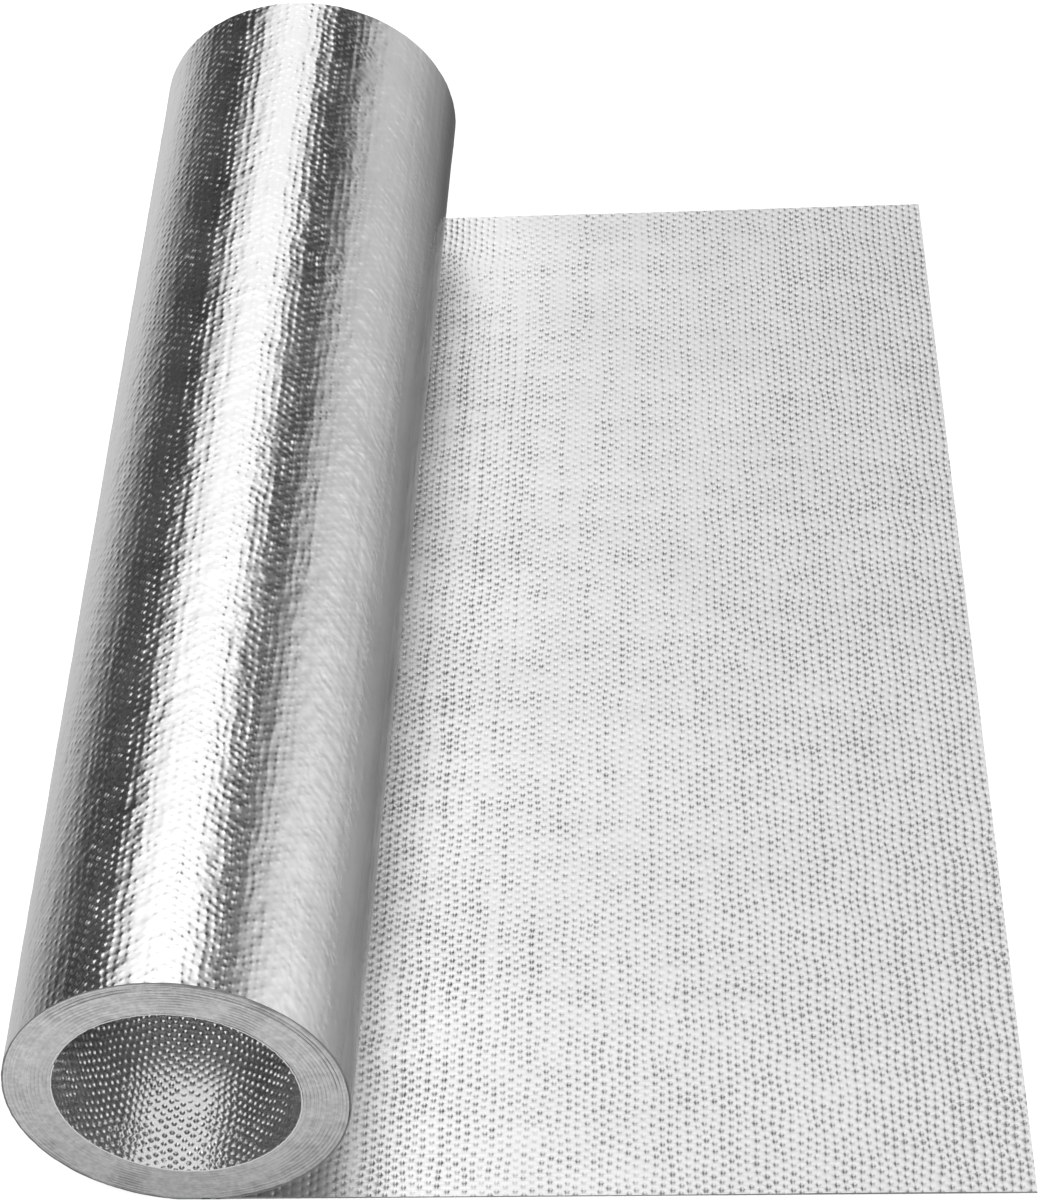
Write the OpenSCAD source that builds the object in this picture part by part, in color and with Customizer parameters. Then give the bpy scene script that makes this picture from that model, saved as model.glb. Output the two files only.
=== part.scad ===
// Coreless roll of embossed aluminium foil, lying on its side with its free end drawn out flat.
// One web of foil: the wound coil and the flat tail are the same sheet, so they are one solid.
// +Y runs along the roll from its near end to its far end, +Z is up, the tail runs out along +X.
// The origin is under the middle of the whole outline, on the surface that the roll lies on.

/* [Web] */
// Width of the web, which is the length of the roll
web_w = 300; // [200:5:450]
// Thickness of the web over its embossed dimples
web_t = 0.3; // [0.2:0.05:0.6]

/* [Coil] */
// Outer diameter of the wound coil
coil_d = 70; // [62:1:90]
// Diameter of the open bore, wound without a core
bore_d = 50; // [30:1:54]
// How far the coil's own weight has flattened its underside
flat_spot = 0.3; // [0.1:0.05:0.6]

/* [Turns on the end faces] */
// Distance between the turns that show on the end faces
turn_pitch = 0.8; // [0.7:0.05:1.5]
// Width of the dark line between two turns
turn_gap = 0.3; // [0.15:0.05:0.4]
// Depth of the line between two turns
turn_depth = 0.4; // [0.2:0.1:1]

/* [Loose ends of the web] */
// Widest gap under the slack outer turn at the near end
slack_gap = 0.5; // [0.3:0.05:0.7]
// How far that gap reaches into the coil
slack_depth = 6; // [2:1:20]
// Direction of the widest gap, counter-clockwise from +X seen from the near end
slack_angle = 50; // [30:5:80]
// Direction of the web's inner end in the bore, counter-clockwise from +X
inner_end_angle = 157; // [120:1:200]

/* [Tail] */
// Length of the flat tail at the near end, from under the roll's axis to the cut
tail_near = 170; // [100:5:300]
// How much shorter the tail is at the far end, where the cut runs out of square
cut_skew = 24; // [0:1:40]

/* [Hidden] */
$fn = 96;
coil_r = coil_d / 2;
bore_r = bore_d / 2;
// The coil's axis stands over the line where the tail meets the surface
axis_x = (coil_r - tail_near) / 2;
axis_z = coil_r - flat_spot;
// Plain foil left at the bore and at the outside of each end face
rim = 0.9;
turns = floor((coil_r - bore_r - 2 * rim) / turn_pitch);
// The slack outer turn is as thick as the web, and stands off a slightly smaller circle
slack_r = coil_r - web_t;
slack_ease = slack_gap / 3;
// Room for a cutting shape to run past the surface that it cuts
past = 1;

module foil_color() {
    color([0.80, 0.81, 0.82]) children();
}

// Half of one turn's line: a ring of half a circle, cut from the end face down
module half_turn(radius) {
    rotate_extrude(angle = 180)
        translate([radius, -turn_depth])
            square([turn_gap, turn_depth + past]);
}

// The turns' spiral: upper halves about the axis, lower halves half a pitch aside,
// so that each half runs smoothly into the next and the radius grows by one pitch a turn
module turn_lines() {
    for (i = [0 : turns - 1]) {
        first_r = bore_r + rim + i * turn_pitch;
        half_turn(first_r);
        translate([turn_pitch / 2, 0, 0])
            rotate([0, 0, 180])
                half_turn(first_r + turn_pitch / 2);
    }
}

// Crescent under the outer turn, widest at slack_angle and closed on the other side
module slack_crescent() {
    rotate([0, 0, slack_angle])
        linear_extrude(height = slack_depth + past)
            difference() {
                circle(r = slack_r);
                translate([-slack_gap + slack_ease, 0])
                    circle(r = slack_r - slack_ease);
            }
}

// Step in the bore where the web begins, fading out clockwise over about a sixth of a turn
module inner_end_step() {
    ease = web_t * 1.4;
    rotate([0, 0, inner_end_angle])
        linear_extrude(height = web_w + 2 * past, center = true)
            intersection() {
                translate([web_t + ease, 0])
                    circle(r = bore_r - ease);
                translate([0, -coil_r])
                    square([coil_r, coil_r]);
            }
}

// The wound coil about its own axis, with the near end at +Z
module coil() {
    difference() {
        cylinder(r = coil_r, h = web_w, center = true);
        cylinder(r = bore_r, h = web_w + 2 * past, center = true);
        inner_end_step();
        translate([0, 0, web_w / 2])
            turn_lines();
        mirror([0, 0, 1])
            translate([0, 0, web_w / 2])
                turn_lines();
        translate([0, 0, web_w / 2 - slack_depth])
            slack_crescent();
        translate([-coil_r, -coil_r - past, -web_w / 2 - past])
            cube([coil_d, flat_spot + past, web_w + 2 * past]);
    }
}

// The flat tail, from under the axis to its slanted cut
module tail() {
    linear_extrude(height = web_t)
        polygon([
            [axis_x, -web_w / 2],
            [axis_x + tail_near, -web_w / 2],
            [axis_x + tail_near - cut_skew, web_w / 2],
            [axis_x, web_w / 2]
        ]);
}

module foil_web() {
    foil_color()
        union() {
            translate([axis_x, 0, axis_z])
                rotate([90, 0, 0])
                    coil();
            tail();
        }
}

foil_web();
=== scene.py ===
import bpy
import numpy as np
from math import cos, pi, radians, sin
from mathutils import Matrix, Vector


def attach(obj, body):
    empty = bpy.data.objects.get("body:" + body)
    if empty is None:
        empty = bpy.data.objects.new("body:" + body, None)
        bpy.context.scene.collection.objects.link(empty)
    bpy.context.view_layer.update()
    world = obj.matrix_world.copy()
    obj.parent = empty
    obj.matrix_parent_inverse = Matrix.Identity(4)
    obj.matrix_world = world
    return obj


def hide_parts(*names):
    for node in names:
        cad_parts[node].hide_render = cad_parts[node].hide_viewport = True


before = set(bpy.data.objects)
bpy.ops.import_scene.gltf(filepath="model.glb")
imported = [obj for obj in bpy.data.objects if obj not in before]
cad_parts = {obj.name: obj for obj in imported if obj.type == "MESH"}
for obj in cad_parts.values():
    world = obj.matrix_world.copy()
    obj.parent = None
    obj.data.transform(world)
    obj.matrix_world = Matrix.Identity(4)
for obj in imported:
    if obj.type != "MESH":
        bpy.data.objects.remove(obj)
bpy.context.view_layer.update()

# Camera
# It looks down on the near end of the roll, from a little to the right, and is rolled slightly, so
# that the coil leans in the picture as it does in the photograph.
camera_at = Vector((0.10321, -0.72216, 0.7660))
camera_turn = radians(-8.813)
camera_down = radians(45.63)
camera_roll = radians(-7.541)
forward = Vector((
    sin(camera_turn) * cos(camera_down),
    cos(camera_turn) * cos(camera_down),
    -sin(camera_down),
))
level_right = forward.cross(Vector((0, 0, 1))).normalized()
level_up = level_right.cross(forward)
camera_right = cos(camera_roll) * level_right + sin(camera_roll) * level_up
camera_up = -sin(camera_roll) * level_right + cos(camera_roll) * level_up
camera_data = bpy.data.cameras.new("camera")
camera_data.lens = 141.13
camera_data.clip_start = 0.05
camera_data.clip_end = 20
camera = bpy.data.objects.new("camera", camera_data)
camera_axes = Matrix((camera_right, camera_up, -forward)).transposed()
camera.matrix_world = Matrix.Translation(camera_at) @ camera_axes.to_4x4()
bpy.context.scene.collection.objects.link(camera)
bpy.context.scene.camera = camera

# Tail of the web
# The free end of the foil, drawn out flat. Soft aluminium foil that was passed between an embossing
# roller and a rubber one, which pressed rows of small round dimples into it and left it 0.3 mm thick.

# All lengths of the meshes are in millimetres until they are written
web_width = 300.0
web_thickness = 0.3
coil_radius = 35.0
coil_x = -67.5
coil_z = 34.7
tail_length = 170.0
cut_skew = 24.0
# Rows of dimples lie across the web's width, and columns along its length
dimple_row = 2.13
rows = int(web_width / dimple_row) + 6
first_row = -web_width / 2 - 2.5 * dimple_row
# A dimple is this near to a plain cone, and the rest rounds its tip
cone = 0.95
# How far the whole lattice drifts, over which reach, and how far single dimples stray in it
lattice_drift = 0.24
lattice_reach = 11
lattice_stray = 0.26


def drift(place, reach, seed):
    """A slow, smooth unevenness between about -1 and 1, with waves near the given reach in millimetres."""
    waves = 12
    usual_height = 3.1
    draw = np.random.default_rng(seed)
    total = np.zeros(len(place))
    for step in range(waves):
        way = draw.normal(size=3)
        way /= np.linalg.norm(way)
        length = reach * draw.uniform(0.6, 1.6)
        total += np.sin(place @ way * (2 * pi / length) + draw.uniform(0, 2 * pi))
    return total / usual_height


def layered(place, layers):
    """Several drifts on top of each other, each given by its height, reach and seed."""
    return sum(height * drift(place, reach, seed) for height, reach, seed in layers)


def chance(col, row, draw):
    """An even scatter between 0 and 1 that differs from dimple to dimple."""
    return (np.sin(col * draw[0] + row * draw[1]) * draw[2]) % 1


def embossed_web(columns, column, radius, long, shoulder, uneven, wander, base, depth):
    """Flat web with a dimple at each place of the staggered lattice: points, triangles, slopes at corners.

    The dimples are longer across the web by the factor long, and the ground beside them takes a share of
    their walls' slope, the shoulder. Their depths differ by the share uneven, and whole columns wander.
    """
    count = columns[1] - columns[0] + 1
    col, row = np.meshgrid(np.arange(columns[0], columns[1] + 1), np.arange(rows), indexing="ij")
    centre = np.stack([(col + 0.5) * column, first_row + (row + 0.5 * (col % 2)) * dimple_row], -1)
    lattice = base(centre.reshape(-1, 2))
    stray_u = chance(col, row, (12.9898, 78.233, 43758.5453))
    stray_v = chance(col, row, (39.425, 27.917, 24634.6345))
    for axis, seed, stray in ((0, 31, stray_u), (1, 37, stray_v)):
        shift = lattice_drift * drift(lattice, lattice_reach, seed)
        centre[..., axis] += shift.reshape(col.shape) + lattice_stray * (stray - 0.5)
    centre[..., 1] += wander * (2 * chance(col, row, (91.73, 0.0, 4375.85)) - 1)
    deep = depth(lattice, centre.reshape(-1, 2)).reshape(col.shape)
    deep = deep * (1 + uneven * (2 * (stray_u * 7.31 % 1) - 1))
    # Each dimple has a middle point and six on its rim, and triangles join its rim to the next dimples
    around = np.arange(6) * pi / 3
    spoke = np.stack([np.cos(around), np.sin(around)], -1)
    points = np.zeros((count, rows, 7, 3))
    points[..., :2] = centre[:, :, None, :]
    points[:, :, 1:, :2] += radius * spoke * (1, long)
    points[:, :, 0, 2] = deep
    wall = np.zeros((count, rows, 7, 2))
    wall[:, :, 1:] = spoke / (1, long) * (2 * deep / radius)[:, :, None, None]

    here = ((col - columns[0]) * rows + row) * 7
    odd = col % 2
    inner = (col < columns[1]) & (row > 0) & (row < rows - 1)
    a = here[inner]
    up = a + 7
    right_up = a + 7 * rows + 7 * odd[inner]
    right_down = right_up - 7
    faces = []
    slopes = []
    flat_wall = wall.reshape(-1, 2)
    for k in range(6):
        fan = np.stack([a, a + 1 + k, a + 1 + (k + 1) % 6], -1)
        faces.append(fan)
        fan_slopes = flat_wall[fan]
        fan_slopes[:, 0] = (fan_slopes[:, 1] + fan_slopes[:, 2]) * 0.5 * cone
        slopes.append(fan_slopes)
    for ground in (
        (a + 2, up + 6, up + 5), (a + 2, up + 5, a + 3),
        (a + 1, right_up + 5, right_up + 4), (a + 1, right_up + 4, a + 2),
        (a + 6, right_down + 4, right_down + 3), (a + 6, right_down + 3, a + 1),
        (a + 1, right_down + 3, right_up + 5), (a + 2, right_up + 4, up + 6),
    ):
        between = np.stack(ground, -1)
        faces.append(between)
        slopes.append(flat_wall[between] * shoulder)
    return points.reshape(-1, 3), np.concatenate(faces), np.concatenate(slopes)


def trimmed(points, faces, slopes, way, limit):
    """The web cut along a straight line: what lies beyond the limit in the given direction falls away."""
    room = limit - points[:, :2] @ np.array(way, float)
    inside = room[faces] >= 0
    kept = inside.sum(1)
    new_faces = [faces[kept == 3]]
    new_slopes = [slopes[kept == 3]]
    new_points = [points]
    next_index = len(points)
    for wanted in (1, 2):
        pick = kept == wanted
        lone = np.argmax(inside[pick] == (wanted == 1), 1)
        order = (lone[:, None] + np.arange(3)) % 3
        f = np.take_along_axis(faces[pick], order, 1)
        s = np.take_along_axis(slopes[pick], order[:, :, None], 1)
        ends = np.concatenate([f[:, [0, 1]], f[:, [0, 2]]])
        low, high = ends.min(1), ends.max(1)
        pairs, back = np.unique(low * len(points) + high, return_inverse=True)
        low, high = pairs // len(points), pairs % len(points)
        share = room[low] / (room[low] - room[high])
        new_points.append(points[low] + (points[high] - points[low]) * share[:, None])
        cut = next_index + back.reshape(2, -1)
        next_index += len(pairs)
        t = room[f[:, 0]][:, None] / (room[f[:, 0]][:, None] - room[f[:, 1:]])
        on_b = s[:, 0] + (s[:, 1] - s[:, 0]) * t[:, :1]
        on_c = s[:, 0] + (s[:, 2] - s[:, 0]) * t[:, 1:]
        if wanted == 1:
            new_faces.append(np.stack([f[:, 0], cut[0], cut[1]], -1))
            new_slopes.append(np.stack([s[:, 0], on_b, on_c], 1))
        else:
            new_faces.append(np.stack([cut[0], f[:, 1], f[:, 2]], -1))
            new_slopes.append(np.stack([on_b, s[:, 1], s[:, 2]], 1))
            new_faces.append(np.stack([cut[0], f[:, 2], cut[1]], -1))
            new_slopes.append(np.stack([on_b, s[:, 2], on_c], 1))
    points, faces, slopes = np.concatenate(new_points), np.concatenate(new_faces), np.concatenate(new_slopes)
    used, back = np.unique(faces, return_inverse=True)
    return points[used], back.reshape(-1, 3), slopes


def laid(points, faces, slopes, base):
    """Lays the flat web on its real surface. Gives each point's place and each corner's normal."""
    flat = points[:, :2]
    step = 0.02
    place = base(flat)
    along = (base(flat + (step, 0)) - base(flat - (step, 0))) / (2 * step)
    across = (base(flat + (0, step)) - base(flat - (0, step))) / (2 * step)
    along /= np.linalg.norm(along, axis=1)[:, None]
    across /= np.linalg.norm(across, axis=1)[:, None]
    out = np.cross(along, across)
    out /= np.linalg.norm(out, axis=1)[:, None]
    normals = out[faces] + along[faces] * slopes[..., :1] + across[faces] * slopes[..., 1:]
    normals /= np.linalg.norm(normals, axis=2)[:, :, None]
    return place + out * points[:, 2:], normals, out


def open_edges(faces):
    """Edges that only one triangle has, in that triangle's own direction."""
    edges = np.concatenate([faces[:, [0, 1]], faces[:, [1, 2]], faces[:, [2, 0]]])
    key = edges.min(1) * (faces.max() + 1) + edges.max(1)
    found, first, times = np.unique(key, return_index=True, return_counts=True)
    return edges[first[times == 1]]


def add_strip(place, faces, normals, edges, to):
    """Adds a strip of two triangles for each edge, from the edge to the places given for its two ends."""
    ends, back = np.unique(edges, return_inverse=True)
    back = back.reshape(-1, 2) + len(place)
    more_place = np.concatenate([place, to[ends]])
    strip = np.concatenate([
        np.stack([edges[:, 1], edges[:, 0], back[:, 0]], -1),
        np.stack([edges[:, 1], back[:, 0], back[:, 1]], -1),
    ])
    p = more_place[strip]
    face_normal = np.cross(p[:, 1] - p[:, 0], p[:, 2] - p[:, 0])
    length = np.linalg.norm(face_normal, axis=1)
    solid = length > 1e-7
    strip, face_normal = strip[solid], face_normal[solid] / length[solid, None]
    more_normals = np.repeat(face_normal[:, None, :], 3, 1)
    new_edges = np.stack([back[:, 0], back[:, 1]], -1)
    return more_place, np.concatenate([faces, strip]), np.concatenate([normals, more_normals]), new_edges


def web_object(name, place, faces, normals, flat, material):
    """Writes a mesh in metres with its own corner normals. Its UV map is the place on the web in metres."""
    mesh = bpy.data.meshes.new(name)
    mesh.vertices.add(len(place))
    mesh.vertices.foreach_set("co", (place / 1000).astype(np.float32).ravel())
    mesh.loops.add(faces.size)
    mesh.loops.foreach_set("vertex_index", faces.astype(np.int32).ravel())
    mesh.polygons.add(len(faces))
    mesh.polygons.foreach_set("loop_start", np.arange(0, faces.size, 3, dtype=np.int32))
    mesh.polygons.foreach_set("loop_total", np.full(len(faces), 3, np.int32))
    mesh.polygons.foreach_set("use_smooth", np.ones(len(faces), bool))
    web_map = mesh.uv_layers.new(name="web")
    web_map.data.foreach_set("uv", (flat[faces.ravel()] / 1000).astype(np.float32).ravel())
    mesh.update()
    mesh.validate()
    mesh.normals_split_custom_set(normals.reshape(-1, 3).astype(np.float32))
    mesh.materials.append(material)
    piece = bpy.data.objects.new(name, mesh)
    bpy.context.scene.collection.objects.link(piece)
    return piece


def to_linear(colour):
    """Linear colour of an sRGB hex value."""
    parts = [int(colour[i:i + 2], 16) / 255 for i in (1, 3, 5)]
    return [c / 12.92 if c <= 0.04045 else ((c + 0.055) / 1.055) ** 2.4 for c in parts] + [1.0]


def add_node(tree, kind, links=(), **settings):
    """Adds a node. Settings name its properties, or sockets by name or number; links join sockets to it."""
    made = tree.nodes.new(kind)
    for key, value in settings.items():
        if hasattr(made, key) and not key.startswith("in_"):
            setattr(made, key, value)
        else:
            name = key[3:].replace("_", " ") if key.startswith("in_") else key
            made.inputs[int(name) if name.isdigit() else name].default_value = value
    for socket, source in links:
        tree.links.new(source, made.inputs[socket])
    return made


# Rolled aluminium foil: a bare, pale metal. Rolling leaves fine lines along the web, drawn coarser here
# than their true 0.1 mm so that they show, and handling leaves faint patches some 20 mm across.
rolling_line = 0.0005
rolling_run = 0.03
handling_patch = 0.02


def rolled_foil(name, dull, bright, smooth, rough, line_depth, painted_shading=((0, 1), (220, 1))):
    """Foil between two colours and two roughnesses, by its lines and patches.

    The last argument paints light and shade: it is the share of the colour that is kept, at places along the
    web in millimetres.
    """
    noise_low = 0.35
    noise_high = 0.65
    shading_length = 220
    material = bpy.data.materials.new(name)
    material.use_nodes = True
    tree = material.node_tree
    tree.nodes.clear()
    on_web = add_node(tree, "ShaderNodeUVMap", uv_map="web")
    stretched = add_node(
        tree, "ShaderNodeMapping", [("Vector", on_web.outputs["UV"])],
        in_Scale=(1 / rolling_run, 1 / rolling_line, 1),
    )
    lines = add_node(
        tree, "ShaderNodeTexNoise", [("Vector", stretched.outputs[0])], in_Scale=1.0, in_Detail=2.0,
    )
    inside = add_node(tree, "ShaderNodeTexCoord")
    patches = add_node(
        tree, "ShaderNodeTexNoise", [("Vector", inside.outputs["Object"])],
        in_Scale=1 / handling_patch, in_Detail=3.0,
    )
    both = add_node(
        tree, "ShaderNodeMath", [(0, lines.outputs["Fac"]), (1, patches.outputs["Fac"])], operation="ADD",
    )
    colour = add_node(tree, "ShaderNodeValToRGB", [("Fac", patches.outputs["Fac"])])
    colour.color_ramp.elements[0].position = noise_low
    colour.color_ramp.elements[0].color = to_linear(dull)
    colour.color_ramp.elements[1].position = noise_high
    colour.color_ramp.elements[1].color = to_linear(bright)
    # Painted light and shade: the colour is multiplied by a ramp of levels along the web
    along = add_node(tree, "ShaderNodeSeparateXYZ", [(0, on_web.outputs["UV"])])
    share = add_node(
        tree, "ShaderNodeMath", [(0, along.outputs["X"])], operation="DIVIDE", in_1=shading_length / 1000,
    )
    shading_ramp = add_node(tree, "ShaderNodeValToRGB", [("Fac", share.outputs[0])])
    while len(shading_ramp.color_ramp.elements) < len(painted_shading):
        shading_ramp.color_ramp.elements.new(0.5)
    for element, (at, left) in zip(shading_ramp.color_ramp.elements, painted_shading):
        element.position = at / shading_length
        element.color = (left, left, left, 1)
    shaded_colour = add_node(
        tree, "ShaderNodeMixRGB", [("Color1", colour.outputs["Color"]), ("Color2", shading_ramp.outputs["Color"])],
        blend_type="MULTIPLY", in_Fac=1.0,
    )
    roughness = add_node(
        tree, "ShaderNodeMapRange", [("Value", both.outputs[0])],
        in_From_Min=2 * noise_low, in_From_Max=2 * noise_high, in_To_Min=smooth, in_To_Max=rough,
    )
    relief = add_node(
        tree, "ShaderNodeBump", [("Height", lines.outputs["Fac"])], in_Strength=1.0, in_Distance=line_depth,
    )
    surface = add_node(
        tree, "ShaderNodeBsdfPrincipled",
        [("Base Color", shaded_colour.outputs[0]), ("Roughness", roughness.outputs[0]),
         ("Normal", relief.outputs["Normal"])],
        in_Metallic=1.0,
    )
    add_node(tree, "ShaderNodeOutputMaterial", [("Surface", surface.outputs["BSDF"])])
    return material


# The web's inner side, which the tail shows, ran against another sheet in the mill: a matt, even white.
# Its colour is painted lighter beside the coil, as painted light for the brighter reflection there, and
# darker towards the free end.
matt = rolled_foil(
    "matt side of aluminium foil", "#F0F0F0", "#F8F8F8", 0.26, 0.34, 0.000012,
    ((0, 1.0), (40, 1.0), (52, 0.88), (66, 0.82), (100, 0.775), (140, 0.75), (220, 0.745)),
)
# The web's edge, slit by a knife: a duller, rougher line, its darker colour partly painted shadow of the
# burr
slit_edge = rolled_foil("slit edge of aluminium foil", "#9A9A9A", "#AEAEAE", 0.5, 0.6, 0.000012)


def show_slit_edge(piece, first, last):
    """Gives the faces of the web's edge, from the first up to the last, their own material."""
    piece.data.materials.append(slit_edge)
    of_edge = np.zeros(len(piece.data.polygons), np.int32)
    of_edge[first:last] = 1
    piece.data.polygons.foreach_set("material_index", of_edge)


# The tail's dimples, in millimetres, and the shares that embossed_web names
tail_column = 1.77
tail_radius = 0.56
tail_long = 1.5
tail_dimple = 0.1
tail_shoulder = 0.45
tail_uneven = 0.2
tail_wander = 0.12
# The dimples of a column run into each other, so their walls are lower along it by this share
tail_groove = 0.75
# Nowhere does the foil lie quite flat: height of its long waves and of its short ones
tail_lift = 0.10
tail_waves = 0.012
# Beside the coil the foil springs up, which only its shading shows: in full as far as lean_full along
# the tail, and less and less as far as lean_reach. Its free end leans too, from end_lean_from on
lean_most = 0.23
lean_full = 30
lean_reach = 64
lean_curve = 1.6
end_lean = 0.02
end_lean_from = 60
# Depth of the dimples as a share: at the coil, its rise to the free end, and its fall to the far end
pressed_first = 0.75
pressed_rise = 0.39
pressed_fall = 0.22
# They are shallower beside the coil: in full as far as beside_full, and less and less to beside_reach
pressed_beside = 0.16
beside_full = 46
beside_reach = 78
# Whole columns differ in depth: everywhere, and more near the coil, which fades away past streak_from
streak_far = 0.08
streak_near = 0.2
streak_from = 20
streak_fade = 35
# Wide and small patches of deeper and shallower dimples, as layers of drift
tail_patches = ((0.06, 26, 8), (0.09, 6, 6))


def tail_base(flat):
    """Where the tail's top lies. Its columns of dimples close up a little towards the slanted cut."""
    u, v = flat[:, 0], flat[:, 1]
    far = (v + web_width / 2) / web_width
    x = coil_x + u * (1 - cut_skew / tail_length * far)
    place = np.stack([x, v, np.zeros(len(u))], -1)
    place[:, 2] = web_thickness + tail_lift * (1 + drift(place, 60, 3)) + tail_waves * drift(place, 9, 7)
    return place


def tail_lean(u):
    """How far the web's normals lean away from the coil: most beside it, where it springs up a little."""
    beside = np.clip((lean_reach - u) / (lean_reach - lean_full), 0, 1)
    beyond = np.clip((u - end_lean_from) / (tail_length - end_lean_from), 0, 1)
    return lean_most * beside ** lean_curve + end_lean * beyond


def tail_depth(place, flat):
    """Pits, since the tail shows the web's inner side. Whole columns differ in depth, most near the coil."""
    u, v = flat[:, 0], flat[:, 1]
    apart = np.stack([np.floor(u / tail_column) * 40, v, np.zeros(len(u))], -1)
    faded = np.exp(-np.maximum(u - streak_from, 0) / streak_fade)
    streak = (streak_far + streak_near * faded) * drift(apart, 80, 5)
    pressed = pressed_first + pressed_rise * u / tail_length - pressed_fall * (v / web_width + 0.5)
    pressed -= pressed_beside * np.clip((beside_reach - u) / (beside_reach - beside_full), 0, 1)
    return -tail_dimple * np.clip(pressed + streak + layered(place, tail_patches), 0.2, 1.7)


# The tail is written as two meshes, which meet between two columns with the same points and normals
tail_half = 48 * tail_column
for name, first_u, last_u in (("tail_beside_coil", 0, tail_half), ("tail_free_end", tail_half, tail_length)):
    web = embossed_web(
        (round(first_u / tail_column) - 2, round(last_u / tail_column) + 2), tail_column, tail_radius,
        tail_long, tail_shoulder, tail_uneven, tail_wander, tail_base, tail_depth,
    )
    for way, limit in (
        ((-1, 0), -first_u), ((1, 0), last_u), ((0, -1), web_width / 2), ((0, 1), web_width / 2),
    ):
        web = trimmed(*web, way, limit)
    web[2][..., 1] *= tail_groove
    web[2][..., 0] += tail_lean(web[0][:, 0])[web[1]]
    place, normals, out = laid(*web, tail_base)
    faces = web[1]
    edges = open_edges(faces)
    at_half = np.abs(web[0][edges][:, :, 0] - tail_half).max(1) < 1e-6
    edges = edges[~at_half]
    top_faces = len(faces)
    low_place = place.copy()
    low_place[:, 2] = 0
    place, faces, normals, low_edges = add_strip(place, faces, normals, edges, low_place)
    edge_faces = len(faces)
    middle = tail_base(np.array([[tail_half, 0.0]])) * (1, 1, 0)
    place = np.concatenate([place, middle])
    under = np.stack([low_edges[:, 1], low_edges[:, 0], np.full(len(low_edges), len(place) - 1)], -1)
    faces = np.concatenate([faces, under])
    normals = np.concatenate([normals, np.tile((0.0, 0.0, -1.0), (len(under), 3, 1))])
    flat = place[:, :2] - (coil_x, 0)
    tail = web_object(name, place, faces, normals, flat, matt)
    show_slit_edge(tail, top_faces, edge_faces)
    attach(tail, "root")
    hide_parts("foil_web")

# Outer turn of the coil
# The last turn of the same web round the coil, which shows the other side of the dimples. Winding has
# drawn it tight, so its dimples are lower than the tail's, and it is pressed flat where it rests.

# The web's outer side ran against a polished roller in the mill: a mirror with a faint haze. Its colour is
# painted darker on its flank beside the tail, as painted shade where the coil meets the tail.
bright_foil = rolled_foil(
    "bright side of aluminium foil", "#F0F0F0", "#F5F5F5", 0.14, 0.22, 0.000008,
    ((0, 1.0), (144, 1.0), (150, 0.86), (155, 0.78), (160, 0.5), (163, 0.29), (166, 0.2), (220, 0.2)),
)
coil_columns = 132
coil_column = 2 * pi * coil_radius / coil_columns
coil_dimple = 0.04
coil_dot = 0.68
coil_long = 1.1
coil_shoulder = 0.3
coil_uneven = 0.35
coil_wander = 0.1
# Share of the relief that was rubbed away towards the tail, as the web was drawn out
rubbed_away = 0.7
# The turn's long and short unevenness, as layers of drift
coil_layers = ((0.03, 34, 11), (0.015, 7, 12))
# Heights of its ripples: the small ones, the slanted swirls, and the creases along the roll
ripple_height = 0.02
swirl_height = 0.012
swirl_wave = 2.1
crease_height = 0.017
# Along the turn, from its underside: its highest dimples, its lowest ones, and where its left side ends,
# on which they are half as high
highest_at = 93
lowest_at = 108
left_side = 84
# The slack outer turn stands off at the near end, and its inner side shows this deep in the gap
slack_depth = 6.0


def rubbed(flat, first, last):
    """Share of the relief that is left. It falls between two angles, in degrees from the underside."""
    gone = np.clip((flat[:, 0] / coil_radius - radians(first)) / radians(last - first), 0, 1)
    return 1 - rubbed_away * gone


def coil_base(flat):
    """Round the coil, clockwise from its underside as seen from the near end."""
    turn = -pi / 2 - flat[:, 0] / coil_radius
    place = np.stack([np.cos(turn) * coil_radius, flat[:, 1], np.sin(turn) * coil_radius], -1)
    swirl = 0.8 * flat[:, 0] + 0.5 * flat[:, 1] + 1.6 * drift(place, 12, 18)
    ripple = ripple_height * drift(place, 3.6, 16) + swirl_height * np.sin(swirl * (2 * pi / swirl_wave))
    ripple = ripple * rubbed(flat, 225, 262) + crease_height * drift(place * (1, 0.05, 1), 2.2, 15)
    swell = 1 + (layered(place, coil_layers) + ripple) / coil_radius
    place[:, 0] = place[:, 0] * swell + coil_x
    place[:, 2] = np.maximum(place[:, 2] * swell + coil_z, 0.0)
    return place


def coil_depth(place, flat):
    """Bumps, the outer side of the dimples: highest left of the top, lower on the top and the left side."""
    u = flat[:, 0]
    uneven = 0.95 + 0.12 * drift(place, 16, 13) + 0.3 * drift(place, 5, 14)
    uneven *= (
        1 + 0.5 * np.exp(-((u - highest_at) / 7) ** 2) - 0.3 * np.exp(-((u - lowest_at) / 4.5) ** 2)
    )
    uneven *= 1 - 0.5 * np.clip((left_side - u) / 8, 0, 1)
    return coil_dimple * np.clip(uneven, 0.2, 2.0) * rubbed(flat, 203, 222)


def end_edges(faces, flat):
    """Open edges along the web's own two sides, which are the ends of the coil."""
    edges = open_edges(faces)
    off_side = np.abs(np.abs(flat[edges][:, :, 1]) - web_width / 2).max(1)
    return edges[off_side < 1e-6]


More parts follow.
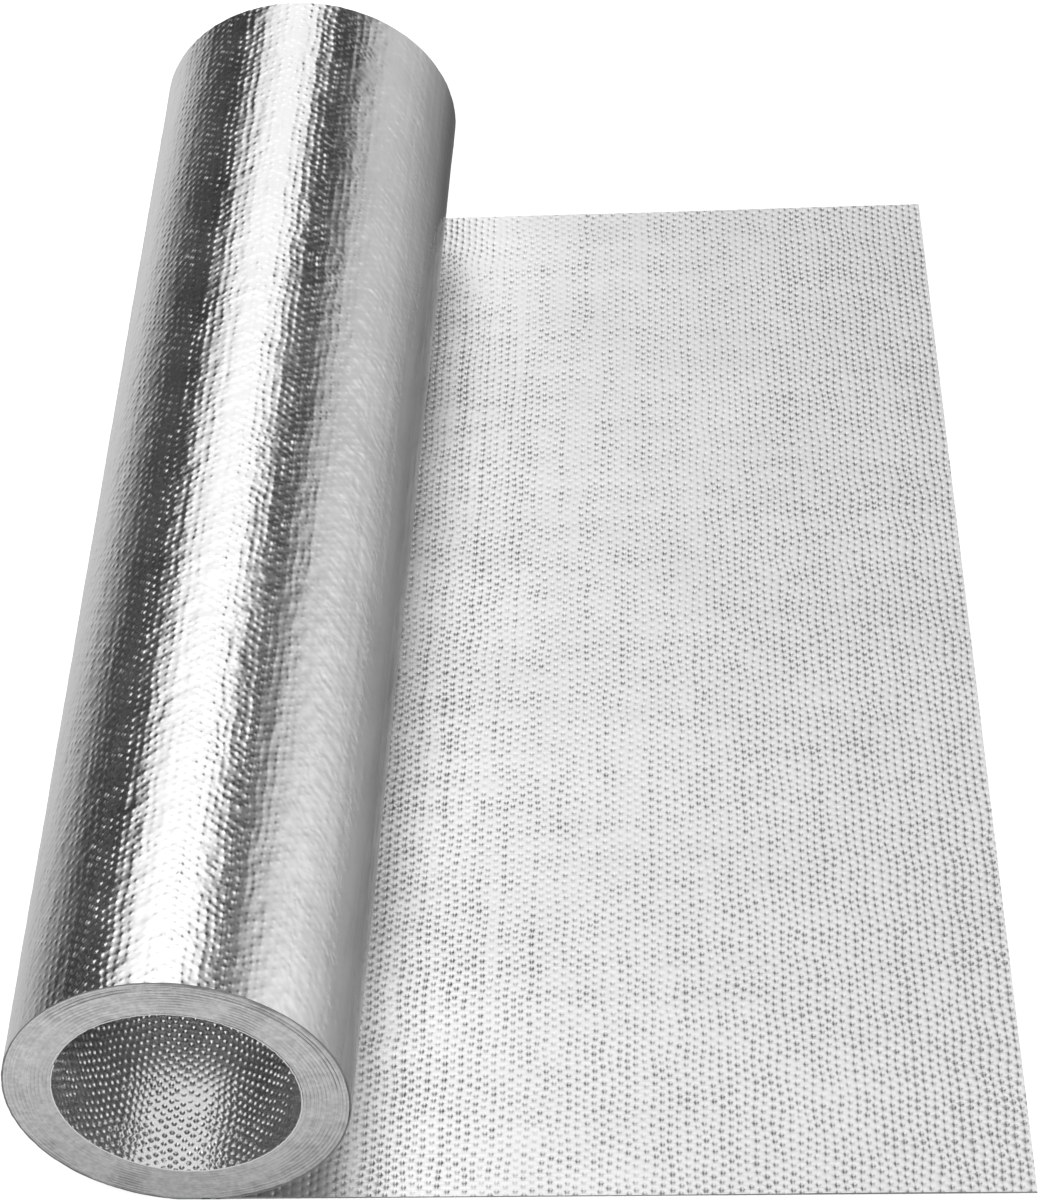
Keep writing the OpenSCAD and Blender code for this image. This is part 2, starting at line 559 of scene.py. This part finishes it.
for name, first, last in (
    ("outer_turn_left", 0, coil_columns // 2), ("outer_turn_right", coil_columns // 2, coil_columns),
):
    web = embossed_web(
        (first, last), coil_column, coil_dot, coil_long, coil_shoulder, coil_uneven, coil_wander,
        coil_base, coil_depth,
    )
    for way in ((0, -1), (0, 1)):
        web = trimmed(*web, way, web_width / 2)
    place, normals, out = laid(*web, coil_base)
    faces = web[1]
    flat = web[0][:, :2]
    edges = end_edges(faces, flat)
    lip = place - out * web_thickness
    count = len(place)
    turn_faces = len(faces)
    place, faces, normals, lip_edges = add_strip(place, faces, normals, edges, lip)
    inward = place.copy()
    inward[:, 1] -= np.sign(inward[:, 1]) * slack_depth
    place, faces, normals, lip_edges = add_strip(place, faces, normals, lip_edges, inward)
    flat = np.concatenate([flat, np.zeros((len(place) - count, 2))])
    turn = web_object(name, place, faces, normals, flat, bright_foil)
    show_slit_edge(turn, turn_faces, len(faces))
    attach(turn, "root")
    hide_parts("foil_web")

# Inner turn, in the bore
# The first turn of the web, which was wound on a spindle that was then drawn out, so there is no core.
# The web's inner end leaves a low step along the bore.

# Rubbed smooth by the spindle, so it has only the faintest lines
burnished = rolled_foil("burnished aluminium foil", "#E8E8E8", "#F0F0F0", 0.16, 0.23, 0.000004)
bore_radius = 25.0
bore_columns = 116
bore_column = 2 * pi * bore_radius / bore_columns
bore_dimple = 0.17
bore_dot = 0.62
bore_long = 1.1
bore_shoulder = 0.25
bore_uneven = 0.4
bore_wander = 0.1
bore_waves = 0.02
inner_end = radians(157)
# Round the middle of the roll, as far as flattened_to from it, the spindle has pressed the dimples flat,
# but for a share of their depth. Over the next stretch they come back in full
flattened_to = 96
flattened_ease = 8
flattened_left = 0.1


def bore_base(flat):
    """Round the bore, counter-clockwise from the web's inner end as seen from the near end."""
    turn = inner_end + flat[:, 0] / bore_radius
    ease = web_thickness * 1.4
    shift = web_thickness + ease
    back = turn - inner_end - 2 * pi
    squared = np.maximum((bore_radius - ease) ** 2 - (shift * np.sin(back)) ** 2, 0)
    reach = shift * np.cos(back) + np.sqrt(squared)
    radius = np.where(back > -pi / 2, np.maximum(reach, bore_radius), bore_radius)
    place = np.stack([np.cos(turn), flat[:, 1], np.sin(turn)], -1)
    place[:, [0, 2]] *= radius[:, None]
    place[:, [0, 2]] *= (1 + bore_waves / bore_radius * drift(place, 30, 17))[:, None]
    place += (coil_x, 0, coil_z)
    return place


def bore_depth(place, flat):
    """Pits, the inner side of the dimples: deep near the bore's two mouths, and flattened between them."""
    mouth = np.clip((np.abs(flat[:, 1]) - flattened_to) / flattened_ease, flattened_left, 1)
    return -bore_dimple * mouth * np.clip(0.9 + 0.3 * drift(place, 14, 19), 0.3, 1.4)


half_turn = pi * bore_radius
for name, first in (("inner_turn_left", 0), ("inner_turn_right", 1)):
    web = embossed_web(
        (first * bore_columns // 2 - 2, (first + 1) * bore_columns // 2 + 1), bore_column, bore_dot,
        bore_long, bore_shoulder, bore_uneven, bore_wander, bore_base, bore_depth,
    )
    for way, limit in (
        ((-1, 0), -first * half_turn), ((1, 0), (first + 1) * half_turn),
        ((0, -1), web_width / 2), ((0, 1), web_width / 2),
    ):
        web = trimmed(*web, way, limit)
    place, normals, out = laid(*web, bore_base)
    faces = web[1]
    flat = web[0][:, :2]
    edges = end_edges(faces, flat)
    lip = place - out * web_thickness
    count = len(place)
    place, faces, normals, lip_edges = add_strip(place, faces, normals, edges, lip)
    flat = np.concatenate([flat, np.zeros((len(place) - count, 2))])
    bore = web_object(name, place, faces, normals, flat, burnished)
    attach(bore, "root")
    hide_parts("foil_web")

# End faces of the coil
# The edges of all the turns, packed side by side. The slit edges of the foil catch the light together
# as one satin grey surface, on which some turns stand a little higher or lower than their neighbours.
turn_pitch = 0.8
rim = 0.9
slack_gap = 0.5
slack_way = radians(50)
# Width of the line between two turns, and the share of it over which the line fades out to a side
turn_line = 0.3
line_fade = 0.35
# The face begins this share of the web's thickness outside the bore, behind the inner turn's own edge
behind_edge = 0.8
# How far the edges lie below the web's side: all of them, at the lines between turns, by their
# unevenness, under the loose turns, and at the outer rim
sunk_all = 0.06
sunk_line = 0.14
sunk_uneven = 0.03
sunk_loose = 0.5
sunk_rim = 0.02
# The loose turns, counted from the bore, gape most a little past slack_way, and over this many degrees
loose_first = 8
loose_last = 9
loose_past = 8
loose_spread = 50
end_rings = 92
end_parts = 384

# The slit edges pressed together: as pale as the foil but rough, with coarse burrs. Their pitch is drawn
# coarser than it is, so that it shows. Both sizes are in metres
edge_pitch = 0.00034
burr_size = 0.0009
packed = bpy.data.materials.new("packed edges of aluminium foil")
packed.use_nodes = True
packed_tree = packed.node_tree
packed_tree.nodes.clear()
packed_place = add_node(packed_tree, "ShaderNodeTexCoord")
# The noise runs round the axis: its places are the radius, in pitches of the edges, and the direction
from_axis = add_node(
    packed_tree, "ShaderNodeVectorMath", [(0, packed_place.outputs["Object"])],
    operation="SUBTRACT", in_1=(coil_x / 1000, 0, coil_z / 1000),
)
flat_on_end = add_node(
    packed_tree, "ShaderNodeVectorMath", [(0, from_axis.outputs[0])], operation="MULTIPLY", in_1=(1, 0, 1),
)
from_middle = add_node(
    packed_tree, "ShaderNodeVectorMath", [(0, flat_on_end.outputs[0])], operation="LENGTH",
)
in_turns = add_node(
    packed_tree, "ShaderNodeMath", [(0, from_middle.outputs["Value"])], operation="DIVIDE", in_1=edge_pitch,
)
direction = add_node(
    packed_tree, "ShaderNodeVectorMath", [(0, flat_on_end.outputs[0])], operation="NORMALIZE",
)
wide_direction = add_node(
    packed_tree, "ShaderNodeVectorMath", [(0, direction.outputs[0])], operation="SCALE", in_Scale=0.9,
)
direction_parts = add_node(packed_tree, "ShaderNodeSeparateXYZ", [(0, wide_direction.outputs[0])])
edge_place = add_node(
    packed_tree, "ShaderNodeCombineXYZ",
    [("X", in_turns.outputs[0]), ("Y", direction_parts.outputs["X"]), ("Z", direction_parts.outputs["Z"])],
)
edges_noise = add_node(
    packed_tree, "ShaderNodeTexNoise", [("Vector", edge_place.outputs[0])], in_Scale=1.0, in_Detail=2.0,
)
burrs = add_node(
    packed_tree, "ShaderNodeTexNoise", [("Vector", packed_place.outputs["Object"])],
    in_Scale=1 / burr_size, in_Detail=2.0,
)
packed_mix = add_node(
    packed_tree, "ShaderNodeMath", [(0, edges_noise.outputs["Fac"]), (1, burrs.outputs["Fac"])],
    operation="ADD",
)
packed_colour = add_node(
    packed_tree, "ShaderNodeMapRange", [("Value", packed_mix.outputs[0])],
    in_From_Min=0.78, in_From_Max=1.22, in_To_Min=0.0, in_To_Max=1.0,
)
packed_ramp = add_node(packed_tree, "ShaderNodeValToRGB", [("Fac", packed_colour.outputs[0])])
packed_ramp.color_ramp.elements[0].color = to_linear("#E2E2E3")
packed_ramp.color_ramp.elements[1].color = to_linear("#FFFFFF")
# Little light comes back out of the gaps between the turns. The UV map holds their depth in millimetres.
packed_hollow = add_node(packed_tree, "ShaderNodeUVMap", uv_map="hollow")
hollow_parts = add_node(packed_tree, "ShaderNodeSeparateXYZ", [(0, packed_hollow.outputs["UV"])])
hollow_light = add_node(
    packed_tree, "ShaderNodeMapRange", [("Value", hollow_parts.outputs["X"])],
    in_From_Min=0.07, in_From_Max=0.4, in_To_Min=1.0, in_To_Max=0.35,
)
# Painted shade: the edges are darker towards the bottom of the end faces
low_shade_parts = add_node(packed_tree, "ShaderNodeSeparateXYZ", [(0, packed_place.outputs["Object"])])
painted_low_shade = add_node(
    packed_tree, "ShaderNodeMapRange", [("Value", low_shade_parts.outputs["Z"])],
    in_From_Min=0.0, in_From_Max=0.045, in_To_Min=0.72, in_To_Max=1.0,
)
packed_light = add_node(
    packed_tree, "ShaderNodeMath", [(0, hollow_light.outputs[0]), (1, painted_low_shade.outputs[0])],
    operation="MULTIPLY",
)
packed_shaded = add_node(
    packed_tree, "ShaderNodeMixRGB",
    [("Color1", packed_ramp.outputs["Color"]), ("Color2", packed_light.outputs[0])],
    blend_type="MULTIPLY", in_Fac=1.0,
)
packed_relief = add_node(
    packed_tree, "ShaderNodeBump", [("Height", packed_mix.outputs[0])], in_Strength=1.0, in_Distance=0.00003,
)
packed_surface = add_node(
    packed_tree, "ShaderNodeBsdfPrincipled",
    [("Base Color", packed_shaded.outputs[0]), ("Normal", packed_relief.outputs["Normal"])],
    in_Metallic=1.0, in_Roughness=0.5,
)
add_node(packed_tree, "ShaderNodeOutputMaterial", [("Surface", packed_surface.outputs["BSDF"])])

for name, side in (("near_end", -1), ("far_end", 1)):
    turn = np.arange(end_parts) * (2 * pi / end_parts)
    inner_r = np.full(end_parts, bore_radius + web_thickness * behind_edge)
    off = turn - slack_way
    slack_r = coil_radius - web_thickness
    loose = slack_r - slack_gap * np.maximum(np.cos(off), 0) ** 2
    outer_r = loose if side < 0 else np.full(end_parts, slack_r)
    share = np.linspace(0, 1, end_rings)
    radius = inner_r[None] + (outer_r - inner_r)[None] * share[:, None]
    px = radius * np.cos(turn)
    pz = radius * np.sin(turn)
    # The turns' spiral: upper halves about the axis, lower halves about a centre half a pitch aside
    lower = pz < 0
    rho = np.where(lower, np.hypot(px - turn_pitch / 2, pz) - turn_pitch / 2, radius)
    phase = (rho - bore_radius - rim) / turn_pitch
    number = np.floor(phase)
    inside = (phase - number) * turn_pitch
    line = np.exp(-((inside - turn_line / 2) / (turn_line * line_fade)) ** 2)
    spots = np.stack([px.ravel(), np.full(px.size, side * web_width / 2), pz.ravel()], -1)
    fade = np.clip(0.45 + 0.55 * drift(spots, 12, 23), 0, 1).reshape(px.shape)
    past_slack = np.degrees((off + pi) % (2 * pi) - pi)
    opened = np.exp(-((past_slack - loose_past) / loose_spread) ** 2)[None, :]
    is_loose = (number >= loose_first) & (number <= loose_last)
    sunk = sunk_all + sunk_line * line * fade + sunk_uneven * drift(spots, 5, 29).reshape(px.shape)
    sunk += np.where(is_loose, sunk_loose * line * opened, 0)
    sunk[-1] = sunk_rim
    place = np.stack([px + coil_x, side * (web_width / 2 - sunk), pz + coil_z], -1)
    wall = place[-1].copy()
    wall[:, 1] = side * (web_width / 2 - slack_depth)
    place = np.concatenate([place, wall[None]])
    rings = len(place)
    index = np.arange(rings * end_parts).reshape(rings, end_parts)
    next_index = np.roll(index, -1, 1)
    a, b = index[:-1].ravel(), next_index[:-1].ravel()
    c, d = next_index[1:].ravel(), index[1:].ravel()
    if side < 0:
        faces = np.concatenate([np.stack([a, d, c], -1), np.stack([a, c, b], -1)])
    else:
        faces = np.concatenate([np.stack([a, c, d], -1), np.stack([a, b, c], -1)])
    place = place.reshape(-1, 3)
    place[:, 2] = np.maximum(place[:, 2], 0.0)
    mesh = bpy.data.meshes.new(name)
    mesh.from_pydata((place / 1000).tolist(), [], faces.tolist())
    mesh.polygons.foreach_set("use_smooth", np.ones(len(faces), bool))
    hollow = np.concatenate([sunk.ravel(), np.zeros(end_parts)])[faces.ravel()]
    hollow_map = mesh.uv_layers.new(name="hollow")
    hollow_map.data.foreach_set("uv", np.stack([hollow, hollow * 0], -1).astype(np.float32).ravel())
    mesh.materials.append(packed)
    mesh.update()
    end = bpy.data.objects.new(name, mesh)
    bpy.context.scene.collection.objects.link(end)
    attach(end, "root")
    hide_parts("foil_web")

# Studio
# A pale floor card and a white background. The foil mirrors a room of soft boxes and dark gaps instead,
# which run as bands round the roll's own direction.
card_level = 0.62
floor_mesh = bpy.data.meshes.new("floor")
floor_mesh.from_pydata([(-0.8, -0.9, 0), (0.9, -0.9, 0), (0.9, 0.9, 0), (-0.8, 0.9, 0)], [], [(0, 1, 2, 3)])
floor = bpy.data.objects.new("floor", floor_mesh)
floor.location.z = -0.0002
bpy.context.scene.collection.objects.link(floor)
card = bpy.data.materials.new("pale card")
card.use_nodes = True
card_tree = card.node_tree
card_tree.nodes.clear()
card_seen = add_node(card_tree, "ShaderNodeLightPath")
card_white = add_node(card_tree, "ShaderNodeEmission", in_Color=(1, 1, 1, 1))
card_glow = add_node(
    card_tree, "ShaderNodeMath", [(0, card_seen.outputs["Is Camera Ray"])],
    operation="MULTIPLY", in_1=card_level,
)
card_tree.links.new(card_glow.outputs[0], card_white.inputs["Strength"])
card_matt = add_node(card_tree, "ShaderNodeBsdfDiffuse", in_Color=to_linear("#F4F4F4"))
card_sum = add_node(
    card_tree, "ShaderNodeAddShader", [(0, card_white.outputs[0]), (1, card_matt.outputs[0])],
)
# The foil mirrors the room's own lower half in place of the card
card_clear = add_node(card_tree, "ShaderNodeBsdfTransparent")
card_mix = add_node(
    card_tree, "ShaderNodeMixShader",
    [(0, card_seen.outputs["Is Glossy Ray"]), (1, card_sum.outputs[0]), (2, card_clear.outputs[0])],
)
add_node(card_tree, "ShaderNodeOutputMaterial", [("Surface", card_mix.outputs[0])])
floor_mesh.materials.append(card)

room = bpy.data.worlds.new("room")
bpy.context.scene.world = room
room.use_nodes = True
room_tree = room.node_tree
room_tree.nodes.clear()
# Direction round the roll's axis, as a share of the turn from straight down, over the right and the top
way = add_node(room_tree, "ShaderNodeTexCoord")
parts = add_node(room_tree, "ShaderNodeSeparateXYZ", [(0, way.outputs["Generated"])])
around = add_node(
    room_tree, "ShaderNodeMath", [(0, parts.outputs["Z"]), (1, parts.outputs["X"])], operation="ARCTAN2",
)
turned = add_node(
    room_tree, "ShaderNodeMapRange", [("Value", around.outputs[0])],
    clamp=False, in_From_Min=radians(-90), in_From_Max=radians(270), in_To_Min=0.0, in_To_Max=1.0,
)
lifted = add_node(
    room_tree, "ShaderNodeMath", [(0, around.outputs[0])], operation="LESS_THAN", in_1=radians(-90),
)
wrapped = add_node(
    room_tree, "ShaderNodeMath", [(0, turned.outputs[0]), (1, lifted.outputs[0])], operation="ADD",
)
# Direction along the axis, from straight across at 0 to straight along at 1
off_middle = add_node(room_tree, "ShaderNodeMath", [(0, parts.outputs["Y"])], operation="ABSOLUTE")
# A colour ramp ends at 1, so all levels in one are divided by this highest level
top_level = 1.5


def level_ramp(source, stops, span):
    """A colour ramp through the given levels, at their places in the span."""
    made = add_node(room_tree, "ShaderNodeValToRGB", [("Fac", source)])
    while len(made.color_ramp.elements) < len(stops):
        made.color_ramp.elements.new(0.5)
    for element, (at, level) in zip(made.color_ramp.elements, stops):
        element.position = (at - span[0]) / (span[1] - span[0])
        element.color = (level / top_level, level / top_level, level / top_level, 1)
    return made.outputs["Color"]


# Levels round the axis, in degrees: the soft boxes that the coil's side mirrors, and the dark gaps between
low_bands = level_ramp(wrapped.outputs[0], (
    (-90, 0.76), (-66, 0.6), (-20, 0.55), (0, 0.7), (14, 0.86), (26, 0.78), (40, 0.66), (53, 0.2),
    (60, 0.13), (70, 0.62), (78, 1.1), (86, 1.27), (100, 1.32), (110, 1.2), (119, 1.04), (126, 0.92),
    (134.5, 0.1), (143, 0.015), (152, 0.12), (161, 0.02), (168, 0.06), (176, 0.12), (185, 0.19),
    (195, 0.34), (206, 0.44), (220, 0.53), (240, 0.58), (256, 0.76), (270, 0.76),
), (-90, 270))
# The same, nearer to the roll's own direction
high_bands = level_ramp(wrapped.outputs[0], (
    (-90, 0.2), (-66, 0.2), (-42, 0.31), (-18, 0.42), (0, 0.51), (14, 0.56), (25, 0.52), (36, 0.42),
    (45, 0.17), (54, 0.04), (72, 0.03), (81, 0.86), (90, 0.98), (100, 1.02), (110, 0.98), (118, 0.84),
    (124, 0.7), (132.5, 0.06), (142, 0.015), (152, 0.06), (166, 0.05), (174, 0.13), (182, 0.26),
    (190, 0.42), (200, 0.54), (210, 0.63), (240, 0.65), (270, 0.2),
), (-90, 270))
height_share = add_node(
    room_tree, "ShaderNodeMapRange", [("Value", off_middle.outputs[0])],
    in_From_Min=0.63, in_From_Max=0.73, in_To_Min=0.0, in_To_Max=1.0,
)
bands = add_node(
    room_tree, "ShaderNodeMixRGB",
    [("Fac", height_share.outputs[0]), ("Color1", low_bands), ("Color2", high_bands)],
)
# Levels along the axis, by which the bands are multiplied, and a little light that is added to them
boxes = level_ramp(off_middle.outputs[0], (
    (0.0, 0.6), (0.14, 0.55), (0.27, 0.36), (0.38, 1.25), (0.5, 1.25), (0.58, 1.0), (0.78, 1.0),
    (0.84, 1.15), (0.9, 0.8), (0.95, 0.3), (1.0, 0.3),
), (0, 1))
fill = level_ramp(off_middle.outputs[0], (
    (0.0, 0.36), (0.12, 0.32), (0.28, 0.16), (0.5, 0.0), (0.85, 0.0), (1.0, 0.1),
), (0, 1))
both = add_node(room_tree, "ShaderNodeMath", [(0, bands.outputs[0]), (1, boxes)], operation="MULTIPLY")
with_fill = add_node(
    room_tree, "ShaderNodeMath", [(0, both.outputs[0]), (2, fill)],
    operation="MULTIPLY_ADD", in_1=top_level,
)
studio_level = add_node(
    room_tree, "ShaderNodeMath", [(0, with_fill.outputs[0])], operation="MULTIPLY", in_1=top_level,
)
studio = add_node(
    room_tree, "ShaderNodeBackground", [("Strength", studio_level.outputs[0])], in_Color=(1, 1, 1, 1),
)
white = add_node(room_tree, "ShaderNodeBackground", in_Color=(1, 1, 1, 1), in_Strength=1.0)
seen = add_node(room_tree, "ShaderNodeLightPath")
room_mix = add_node(
    room_tree, "ShaderNodeMixShader",
    [(0, seen.outputs["Is Camera Ray"]), (1, studio.outputs[0]), (2, white.outputs[0])],
)
add_node(room_tree, "ShaderNodeOutputWorld", [("Surface", room_mix.outputs[0])])

# A small strip lamp in each mouth of the bore, on its axis, which shines down on the inner turn
strip_level = 0.72
strip_from_middle = 0.123
for side in (-1, 1):
    strip = bpy.data.lights.new("bore_strip", "AREA")
    strip.shape = "RECTANGLE"
    strip.size = 0.022
    strip.size_y = 0.034
    strip.energy = strip_level * pi * strip.size * strip.size_y
    strip_object = bpy.data.objects.new("bore_strip", strip)
    strip_object.location = (coil_x / 1000, side * strip_from_middle, coil_z / 1000)
    strip_object.visible_camera = False
    bpy.context.scene.collection.objects.link(strip_object)

bpy.context.scene.view_settings.view_transform = "Standard"
# Light goes to and fro between the bore's walls many times
bpy.context.scene.cycles.glossy_bounces = 14
bpy.context.scene.cycles.max_bounces = 16
